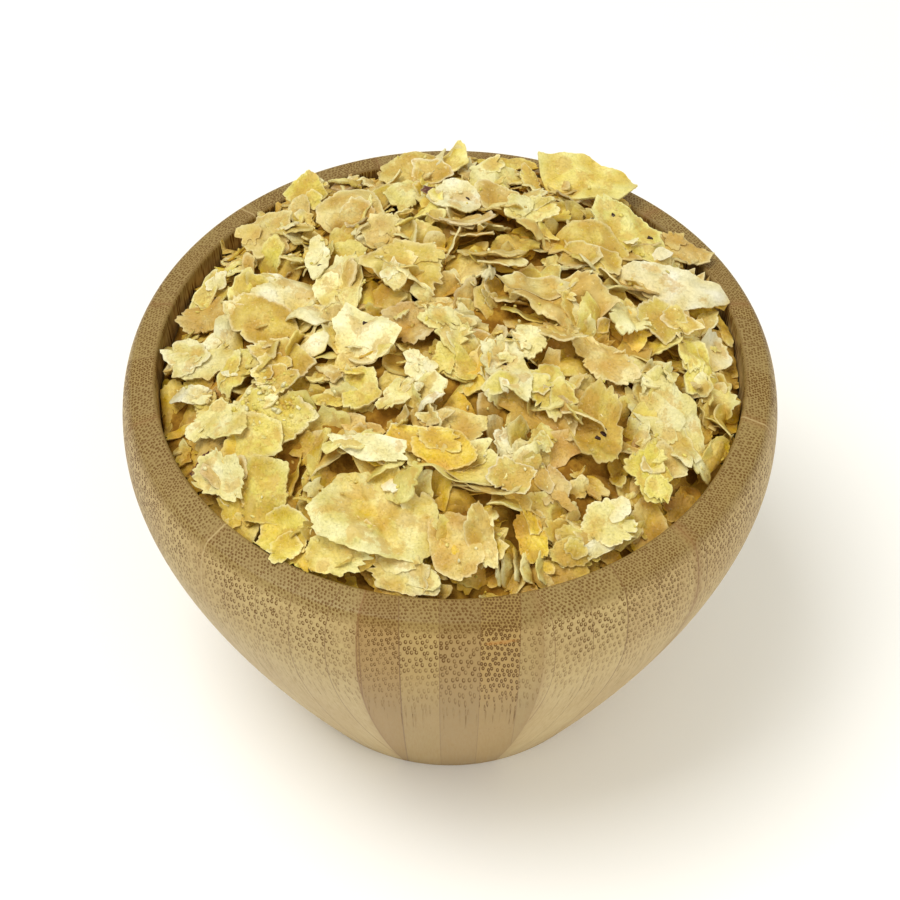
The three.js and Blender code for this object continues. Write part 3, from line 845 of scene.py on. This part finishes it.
class Shape:
    """One flake's form: its torn outline, and its surface over that outline."""

    def __init__(self, flake, random, sides):
        self.half = self.span = SPREAD * np.array([flake.long, flake.wide]) / 2
        self.middle = np.zeros(2)
        self.lift = self.peel = 0.0
        self.sides = sides
        self.angle = circle(sides)
        self.reach = self.edge(flake.ragged, random)
        self.curl = flake.curl
        self.thickness = random.uniform(*THICKNESS)
        self.offset = random.uniform(0, 500, 2)
        self.bend = random.normal(0, 0.036, 4) * flake.long
        self.hook = flake.hook
        self.buckle = 0.021 * flake.long * random.uniform(0.4, 1.2)
        self.crumple = random.uniform(0.05, 0.13) * (0.5 + flake.ragged)
        self.creases = [
            (random.uniform(0, math.pi), random.normal(0, 0.35) * flake.wide / 2, random.normal(0, CREASE))
            for _ in range(random.integers(2, 5))
        ]

    def edge(self, ragged, random):
        """How far the edge reaches at each side, as a share of the half length and width: mostly a
        few straight breaks, bitten and toothed where it is torn, with a few notches."""
        size = self.half.mean()
        around = 2 * math.pi * size
        reach = 0.22 + 0.78 * np.minimum(self.broken(ragged, random), 1.12)
        torn = 0.7 + 0.3 * np.cos(self.angle * random.integers(1, 4) + random.uniform(0, 2 * math.pi))
        bites = sum(depth * ripple(random, self.sides, around / wave) for wave, depth in TEARS)
        reach += ragged * torn * bites / size
        for _ in range(int(ragged * random.integers(0, 4))):
            tear = (random.integers(self.sides) + np.arange(-1, 2)) % self.sides
            reach[tear] -= random.uniform(0.5, 1.8) / size * np.array([0.5, 1.0, random.uniform(0, 0.7)])
        return np.clip(reach, 0.45, 1.12)

    def broken(self, ragged, random):
        """The straight breaks alone."""
        corners = random.integers(4, 8)
        places = (np.arange(corners) + random.uniform(-0.38, 0.38, corners)) * 2 * math.pi / corners
        places = places + random.uniform(0, 2 * math.pi)
        tips = random.uniform(1 - CORNERS * (0.5 + ragged), 1.1, corners)
        points = np.c_[tips * np.cos(places), tips * np.sin(places)]
        reach = np.full(self.sides, np.inf)
        for start, end in zip(points, np.roll(points, -1, axis=0)):
            out = np.array([end[1] - start[1], start[0] - end[0]])
            facing = out[0] * np.cos(self.angle) + out[1] * np.sin(self.angle)
            far = (out @ start) / np.where(facing > 1e-6, facing, 1e-6)
            reach = np.minimum(reach, np.where(facing > 1e-6, far, np.inf))
        return reach

    def creased(self, u, v):
        """Flat areas that meet in creases."""
        height = np.zeros_like(u)
        for facing, place, slope in self.creases:
            height += slope * np.abs(u * math.cos(facing) + v * math.sin(facing) - place)
        return height

    def height(self, u, v):
        """The middle surface at a place on the flake."""
        along, across = u / self.span[0], v / self.span[1]
        bend = self.bend[0] * along**2 + self.bend[1] * across**2
        bend += self.bend[2] * along * across + self.bend[3] * along**3
        bend -= self.hook * np.maximum(along + 0.1, 0) ** 2.5
        x, y = u + self.offset[0], v + self.offset[1]
        wavy = self.buckle * BUCKLE.at(x, y) + self.crumple * CRUMPLE.at(x, y)
        return self.curl * along**2 + bend + self.creased(u, v) + wavy + 0.04 * GRAIN.at(x, y)

    def inside(self, u, v):
        """Which places lie within the outline."""
        angle = np.arctan2(v / self.half[1], u / self.half[0])
        side = np.round(angle / (2 * math.pi) * self.sides).astype(int) % self.sides
        return np.hypot(u / self.half[0], v / self.half[1]) < self.reach[side]


class Layer(Shape):
    """A thin layer left on part of a flake. It follows the flake's surface and comes off it at one
    side."""

    def __init__(self, flake, random):
        vars(self).update(vars(flake))
        self.half = flake.half * random.uniform(*LAYER_SIZE, 2)
        side = random.uniform(0, 2 * math.pi)
        aside = random.uniform(*LAYER_ASIDE) * np.array([math.cos(side), math.sin(side)])
        self.middle = flake.half * aside
        self.sides = LAYER_SIDES
        self.angle = circle(self.sides)
        self.reach = self.edge(1.0, random)
        self.thickness = random.uniform(*LAYER_THICKNESS)
        self.lift = 0.5 * (flake.thickness + self.thickness) - 0.03
        self.peel = random.uniform(*LAYER_PEEL)


def flake_basis(turn, pitch, roll):
    """A flake's axes in the world: along its length, across it, and out of its face."""
    tilt = np.array([math.tan(math.radians(roll)), -math.tan(math.radians(pitch))])
    normal = np.array([*tilt, 1.0])
    heading = np.array([math.cos(math.radians(turn)), math.sin(math.radians(turn))])
    along = np.array([*heading, -heading @ tilt])
    along /= np.linalg.norm(along)
    normal /= np.linalg.norm(normal)
    return along, np.cross(normal, along), normal


class Heap:
    """The height of all that has been laid so far, on a square grid."""

    def __init__(self):
        side = np.arange(-BOWL_RADIUS - 4, BOWL_RADIUS + 4, CELL)
        self.x, self.y = np.meshgrid(side, side, indexing="ij")
        self.start = side[0]
        radius = np.hypot(self.x, self.y)
        self.on_rim = (radius > RIM_STARTS) & (radius < BOWL_RADIUS)
        rim = BOWL_HEIGHT - RIM_DROP * np.clip((radius - MOUTH_RADIUS) / RIM_WIDTH, 0, 1)
        self.top = np.where(self.on_rim, rim, core_height(self.x, self.y))
        self.top[radius >= BOWL_RADIUS] = 0.0
        self.highest = HIGHEST

    def cell(self, x, y):
        return int((x - self.start) / CELL), int((y - self.start) / CELL)

    def window(self, x, y, reach):
        low = [int((place - reach - self.start) / CELL) for place in (x, y)]
        high = [int((place + reach - self.start) / CELL) + 2 for place in (x, y)]
        size = len(self.x)
        return tuple(slice(max(a, 0), min(b, size)) for a, b in zip(low, high))

    def around(self, reach):
        """The mean height about each place, within the mouth alone."""
        mouth = np.hypot(self.x, self.y) < MOUTH_RADIUS - 1
        rate = 2 * math.pi * np.fft.fftfreq(len(self.x), CELL)
        blur = np.exp(-0.5 * reach**2 * (rate[:, None] ** 2 + rate[None, :] ** 2))
        total, share = (
            np.fft.ifft2(np.fft.fft2(field) * blur).real for field in (self.top * mouth, mouth * 1.0)
        )
        return np.where(share > 0.02, total / np.maximum(share, 0.02), BOWL_HEIGHT)

    def lie(self, x, y, reach):
        """The plane that lies best on the heap round a place, as its pitch and roll in degrees."""
        area = self.window(x, y, reach)
        u, v, top = self.x[area] - x, self.y[area] - y, self.top[area]
        near = (u * u + v * v < reach * reach) & (top > BOWL_HEIGHT - 30) & ~self.on_rim[area]
        if near.sum() < 8:
            return 0.0, 0.0
        columns = np.c_[u[near], v[near], np.ones(near.sum())]
        plane = np.linalg.lstsq(columns, top[near], rcond=None)[0]
        return math.degrees(math.atan(plane[1])), math.degrees(math.atan(-plane[0]))

    def lay(self, shape, x, y, basis, bite, steep=False):
        """Lowers a flake until only a share of it, bite, is under what lies there already. Returns
        the height of its middle, and adds it to the heap. One that would have to climb onto the rim
        from inside, or stand out of the heap, isn't laid, and the height is None."""
        along, across, normal = basis
        area = self.window(x, y, float(shape.half.max()) * 1.15)
        dx, dy = self.x[area] - x, self.y[area] - y
        scale = along[0] * across[1] - along[1] * across[0]
        u = (dx * across[1] - dy * across[0]) / scale
        v = (dy * along[0] - dx * along[1]) / scale
        within = shape.inside(u, v)
        on_rim = self.on_rim[area] & within
        free = within & ~on_rim
        if not free.any():
            return None
        rise = u * along[2] + v * across[2] + shape.height(u, v) / max(normal[2], 0.4)
        needed = self.top[area] - rise + 0.5 * shape.thickness
        level = float(np.quantile(needed[free], 1 - bite))
        if steep:
            level = float(np.median(self.top[area][free])) + 0.2 * float(shape.half.min())
        over = on_rim & (level + rise > BOWL_HEIGHT - ON_RIM)
        if over.any():
            climb = float(needed[over].max()) + 0.15 - level
            if climb > CLIMB:
                return None
            level += max(climb, 0.0)
        highest = np.interp(math.hypot(x, y) / MOUTH_RADIUS, BY_THE_WALL, self.highest)
        if level > heap_height(x, y) + highest:
            return None
        top = level + rise + 0.5 * shape.thickness
        higher = (free | over) & (top > self.top[area])
        self.top[area] = np.where(higher, top, self.top[area])
        return level


def keep_off_the_bowl(points):
    """Pushes the parts of a plate that would be in the bowl's wall back inside it, and lifts those
    over the rim. Both faces move alike."""
    faces = points.reshape(2, -1, 3)
    radius = np.hypot(faces[..., 0], faces[..., 1])
    high = (faces[..., 2] > BOWL_HEIGHT - ON_RIM).any(axis=0)
    over_rim = (radius > RIM_STARTS).any(axis=0) & high
    lift = np.where(over_rim & (radius < BOWL_RADIUS), BOWL_HEIGHT + OVER_RIM - faces[..., 2], 0.0)
    faces[..., 2] += np.maximum(lift.max(axis=0), 0.0)
    wall = cavity_profile()
    limit = np.interp(faces[..., 2], wall[:, 1], wall[:, 0]) - OFF_WALL
    push = np.where(over_rim, 0.0, np.maximum((radius - limit).max(axis=0), 0.0))
    faces[..., :2] *= (1 - push / np.maximum(radius, 1.0))[..., None]
    return faces.reshape(-1, 3)


def flake_tones(kind, shape, u, v, toward_edge, random):
    """The colour of each place on a flake: its kind's tone, clouded, with a paler broken edge. The
    fourth number is how toasted the place is."""
    tone, pale, deep, blotches = KINDS[kind]
    x, y = u + shape.offset[1], v + shape.offset[0]
    cloud = CLOUD.at(x, y) + random.normal(0, 0.5)
    lighter = smooth_step(0.1, 1.6, cloud)[:, None]
    deeper = smooth_step(0.1, 1.7, -cloud)[:, None]
    colour = tone * (1 - lighter) + pale * lighter
    colour = colour * (1 - 0.8 * deeper) + deep * 0.8 * deeper
    broken = random.uniform(0.0, 0.65) * toward_edge[:, None] ** 20
    colour = colour * (1 - broken) + CRISP * broken
    toasted = 0.33 + 0.33 * blotches * random.uniform(0.1, 1.4) + 0.08 * CLOUD.at(y, x)
    toasted -= 0.25 * toward_edge**8
    colour = colour * np.array([1.0, 1.0, 1 + 0.09 * float(CLOUD.at(*(7 * shape.offset)))])
    return np.c_[colour * random.uniform(0.88, 1.02), toasted]


def flake_mesh(shape, kind, place, basis, random, rings):
    """A closed thin plate with both faces split alike, thinner towards its edge."""
    sides = shape.sides
    share = (np.arange(1, rings + 1) / rings) ** 0.85
    reach = 1 + (shape.reach - 1) * np.ones((rings, 1))
    soften = share[:, None] ** 2
    reach = reach * soften + reach.mean() * (1 - soften)
    u = (share[:, None] * reach * np.cos(shape.angle) * shape.half[0]).ravel()
    v = (share[:, None] * reach * np.sin(shape.angle) * shape.half[1]).ravel()
    toward_edge = np.r_[0.0, np.repeat(share, sides)]
    u, v = np.r_[0.0, u], np.r_[0.0, v]
    loose = shape.peel * toward_edge**3 * np.maximum(u / shape.half[0], 0)
    u, v = u + shape.middle[0], v + shape.middle[1]
    middle = shape.height(u, v) + shape.lift + loose
    half = 0.5 * shape.thickness * (1 - 0.35 * toward_edge**3)
    faces = [np.c_[u, v, middle + side * half] for side in (1, -1)]
    points = np.vstack(faces) @ np.array(basis) + np.array(place)
    tones = flake_tones(kind, shape, u, v, toward_edge, random)
    # painted shade: the lower face gets deeper, warmer tones than the upper one
    under = tones * np.array([0.97, 0.9, 0.72, 1.0])
    count = 1 + rings * sides
    i, following = neighbours(sides)
    hub = np.c_[np.zeros(sides, int), 1 + i, 1 + following]
    bands = [hub]
    for ring in range(1, rings):
        inner, outer = 1 + (ring - 1) * sides, 1 + ring * sides
        bands.append(np.c_[inner + i, outer + i, outer + following])
        bands.append(np.c_[inner + i, outer + following, inner + following])
    face = np.vstack(bands)
    edge = 1 + (rings - 1) * sides
    a, b = edge + i, edge + following
    rim = np.vstack([np.c_[a, a + count, b], np.c_[b, a + count, b + count]])
    triangles = np.vstack([face, face[:, ::-1] + count, rim])
    marks = np.zeros(2 * count, int)
    marks[edge:count] = 1
    marks[count + edge :] = 2
    return keep_off_the_bowl(points), triangles, np.vstack([tones, under]), marks


def on_flake(shape, place, basis, u, v):
    """The point on a flake's upper face at (u, v)."""
    height = float(shape.height(np.array([u]), np.array([v]))[0]) + 0.5 * shape.thickness
    return np.array([u, v, height]) @ np.array(basis) + np.array(place)


def speck_mesh(place, normal, size, random):
    """A small dark scale that lies on a flake."""
    count = SPECK_SIDES
    angle = circle(count)
    reach = size * random.uniform(0.6, 1.1, count) * np.where(np.abs(np.cos(angle)) > 0.7, 1.3, 0.8)
    side = np.cross(normal, [0.3, 0.9, 0.2])
    side /= np.linalg.norm(side)
    other = np.cross(normal, side)
    ring = (reach * np.cos(angle))[:, None] * side + (reach * np.sin(angle))[:, None] * other
    points = np.vstack([ring, 0.12 * normal, -0.12 * normal]) + place
    i, following = neighbours(count)
    above = np.c_[np.full(count, count), i, following]
    below = np.c_[np.full(count, count + 1), following, i]
    return points, np.vstack([above, below])


def lay_flake(heap, batches, flake, random, sides, rings, bite, steep=False, layers=0):
    """Makes one flake, settles it on the heap and adds it to its kind's batch. One that can't lie so
    near the rim is drawn in a little."""
    shape = Shape(flake, random, sides)
    basis = flake_basis(flake.turn, flake.pitch, flake.roll)
    level = heap.lay(shape, flake.x, flake.y, basis, bite, steep)
    for _ in range(DRAWN_IN_TIMES):
        if level is None:
            flake = flake._replace(x=flake.x * DRAWN_IN, y=flake.y * DRAWN_IN)
            level = heap.lay(shape, flake.x, flake.y, basis, bite, steep)
    if level is None:
        return
    place = (flake.x, flake.y, level)
    points, triangles, tones, rims = flake_mesh(shape, flake.kind, place, basis, random, rings)
    batches[flake.kind].add(points, triangles, tones, rims)
    for _ in range(layers):
        layer = Layer(shape, random)
        points, triangles, tones, rims = flake_mesh(layer, flake.kind, place, basis, random, LAYER_RINGS)
        batches[flake.kind].add(points, triangles, tones, rims)
    for u, v, size in flake.specks:
        point = on_flake(shape, place, basis, u, v)
        points, triangles = speck_mesh(point, basis[2], size, random)
        batches["husk"].add(points, triangles, plain(KINDS["husk"].deep * 0.6, len(points)))


def scattered(filling, random):
    """Flakes strewn evenly over the mouth, lying level."""
    names, shares = zip(*filling.kinds.items())
    shares = np.array(shares) / sum(shares)
    for i in range(filling.count):
        long = random.uniform(*filling.sizes)
        outer = MOUTH_RADIUS - 0.22 * long
        share = (i + random.uniform(0, 1)) / filling.count
        radius = math.sqrt(filling.inner**2 + (outer**2 - filling.inner**2) * share)
        angle = i * GOLDEN_TURN + random.uniform(-0.3, 0.3)
        yield Flake(
            kind=str(random.choice(names, p=shares)),
            x=radius * math.cos(angle),
            y=radius * math.sin(angle),
            long=long,
            wide=long * random.uniform(0.38, 0.9),
            turn=random.uniform(0, 360),
            pitch=0,
            roll=0,
            curl=random.normal(0, 0.05) * long,
            ragged=random.uniform(0.4, 1.2),
        )


def lay_scattered(heap, batches, filling, random, bare=None):
    """Lays flakes tilted from the heap's own slope, like their neighbours and a little at random.
    Those whose place isn't bare are left out."""
    for flake in scattered(filling, random):
        if bare is not None and not bare[heap.cell(flake.x, flake.y)]:
            continue
        pitch, roll = heap.lie(flake.x, flake.y, 0.5 * flake.long)
        pitch += filling.spread * (SWAY_FORWARD.at(flake.x, flake.y) + 0.6 * random.normal())
        roll += filling.spread * (SWAY_ASIDE.at(flake.x, flake.y) + 0.6 * random.normal())
        outside = math.hypot(flake.x, flake.y) > BY_THE_WALL[0] * MOUTH_RADIUS
        steepest = STEEPEST_BY_WALL if outside else STEEPEST
        pitch, roll = np.clip((pitch, roll), -steepest, steepest).tolist()
        flake = flake._replace(pitch=pitch, roll=roll)
        lay_flake(heap, batches, flake, random, filling.sides, filling.rings, BITE)


def crumb_mesh(place, size, random):
    """A lump of few faces."""
    golden = (1 + math.sqrt(5)) / 2
    corners = [(0, a, b * golden) for a in (-1, 1) for b in (-1, 1)]
    corners = np.array([np.roll(corner, turn) for corner in corners for turn in range(3)])
    sides = np.linalg.norm(corners[:, None] - corners[None], axis=-1)
    near = (sides > 0.1) & (sides < 2.1)
    triangles = []
    for i in range(12):
        for j in range(i + 1, 12):
            for k in range(j + 1, 12):
                if near[i, j] and near[j, k] and near[i, k]:
                    outward = np.cross(corners[j] - corners[i], corners[k] - corners[i]) @ corners[i]
                    triangles.append((i, j, k) if outward > 0 else (i, k, j))
    lump = corners / np.linalg.norm(corners[0]) * random.uniform(0.7, 1.1, (12, 1))
    lump *= size / 2 * random.uniform((0.8, 0.6, 0.4), (1.2, 1.0, 0.7))
    return lump @ turned(random) + place, np.array(triangles)


def turned(random):
    """A rotation about any axis."""
    basis, _ = np.linalg.qr(random.normal(size=(3, 3)))
    return basis * np.sign(np.linalg.det(basis))


def lay_crumbs(heap, batch, random):
    """Crumbs all over the heap, and many on the crumbly flake at the left."""
    strewn = [(*(random.uniform(-58, 58, 2)), random.uniform(0.5, 1.4)) for _ in range(CRUMBS)]
    heaped = [
        (*(CRUMBLY + random.normal(0, 4.0, 2)), random.uniform(0.5, 1.8)) for _ in range(CRUMBS_HEAPED)
    ]
    for x, y, size in strewn + heaped:
        if math.hypot(x, y) > MOUTH_RADIUS - 3:
            continue
        place = np.array([x, y, heap.top[heap.cell(x, y)] + 0.2 * size])
        points, triangles = crumb_mesh(place, size, random)
        kind = KINDS[str(random.choice(CRUMB_KINDS))]
        batch.add(points, triangles, plain(kind.tone * random.uniform(0.85, 1.05), 12))


def deepen(heap, batches):
    """Paints shade into each place's tone by how far it lies below the heap round about."""
    around = heap.around(AROUND)
    for batch in batches.values():
        for points, tones in zip(batch.vertices, batch.tones):
            cells = ((points[:, :2] - heap.start) / CELL).astype(int)
            low = around[cells[:, 0], cells[:, 1]] - points[:, 2]
            share = smooth_step(-1.2, 3.4, low)[:, None]
            tones[:, :3] *= 1 - share * (1 - DEEP_SHADE)


def lay_stack(heap, batches, stack, random):
    for i in range(stack.count):
        flake = stack.first
        flake = flake._replace(
            x=flake.x + i * stack.step_x,
            y=flake.y + i * stack.step_y,
            turn=flake.turn + random.normal(0, 6),
            long=flake.long * random.uniform(0.8, 1.1),
        )
        steep = abs(flake.roll) > ON_EDGE
        lay_flake(heap, batches, flake, random, STACK_SIDES, STACK_RINGS, BITE, steep)


def lay_heap():
    """Every flake of the heap, as one piece for each kind."""
    random = np.random.default_rng(SEED)
    heap = Heap()
    batches = {name: Batch() for name in (*KINDS, "crumb")}
    for filling in FILLINGS:
        lay_scattered(heap, batches, filling, random)
    for stack in STACKS:
        lay_stack(heap, batches, stack, random)
    filled = heap.top.copy()
    heap.highest = HIGHEST_LARGE
    for row in (*BACK_FLAKES, *LEFT_FLAKES, *MIDDLE_FLAKES, *FRONT_FLAKES):
        flake = Flake(*row)
        layers = 0 if flake.specks or flake.ragged < 0.3 else int(random.integers(0, 3))
        lay_flake(heap, batches, flake, random, LARGE_SIDES, LARGE_RINGS, BITE_LARGE, layers=layers)
    bare = heap.top < filled + 0.1
    heap.highest = HIGHEST
    for filling in TOPPINGS:
        lay_scattered(heap, batches, filling, random, bare)
    lay_crumbs(heap, batches["crumb"], random)
    # painted shade in the low places between flakes
    deepen(heap, batches)
    return [batch.make("flakes_" + name, flake_material(name)) for name, batch in batches.items()]


# ---- the scene ----


def bowl_piece():
    vertices, triangles = lathe(bowl_profile(), BOWL_SEGMENTS)
    batch = Batch()
    batch.add(vertices, triangles, plain(TOAST, len(vertices)))
    return batch.make("bamboo_bowl", bamboo_material())


def add_camera():
    data = bpy.data.cameras.new("camera")
    data.lens = LENS
    data.sensor_width = SENSOR
    camera = bpy.data.objects.new("camera", data)
    aim = Vector((0, 0, VIEW_HEIGHT)) * MM
    back = Vector((0, -math.cos(VIEW_ELEVATION), math.sin(VIEW_ELEVATION)))
    camera.location = aim + back * VIEW_DISTANCE * MM
    camera.rotation_euler = (-back).to_track_quat("-Z", "Y").to_euler()
    bpy.context.scene.collection.objects.link(camera)
    bpy.context.scene.camera = camera


def add_light(name, place, size, power):
    """A square soft light, in metres and watts, that faces the bowl."""
    data = bpy.data.lights.new(name, "AREA")
    data.size = size
    data.energy = power
    light = bpy.data.objects.new(name, data)
    light.location = place
    light.rotation_euler = (Vector(LIT_PLACE) - Vector(place)).to_track_quat("-Z", "Y").to_euler()
    bpy.context.scene.collection.objects.link(light)


def add_world():
    world = bpy.data.worlds.new("studio")
    world.use_nodes = True
    background = world.node_tree.nodes["Background"]
    background.inputs["Color"].default_value = LIT_FROM_ROUND
    background.inputs["Strength"].default_value = LIT_FROM_ROUND_STRENGTH
    bpy.context.scene.world = world


def add_floor():
    bpy.ops.mesh.primitive_plane_add(size=FLOOR_SIZE)
    floor = bpy.context.object
    floor.name = "floor"
    floor.data.materials.append(floor_material())


add_camera()
add_world()
add_light("key", place=(-0.3, -0.1, 1.0), size=0.45, power=5.7)
add_light("fill", place=(0.6, -0.75, 0.6), size=0.9, power=2.6)
add_floor()
bpy.context.scene.view_settings.view_transform = "Standard"

bowl = bowl_piece()
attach(bowl, "root")
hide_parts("bowl")

core = core_piece()
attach(core, "root")
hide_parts("flakes")

for piece in lay_heap():
    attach(piece, "root")
    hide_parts("flakes")
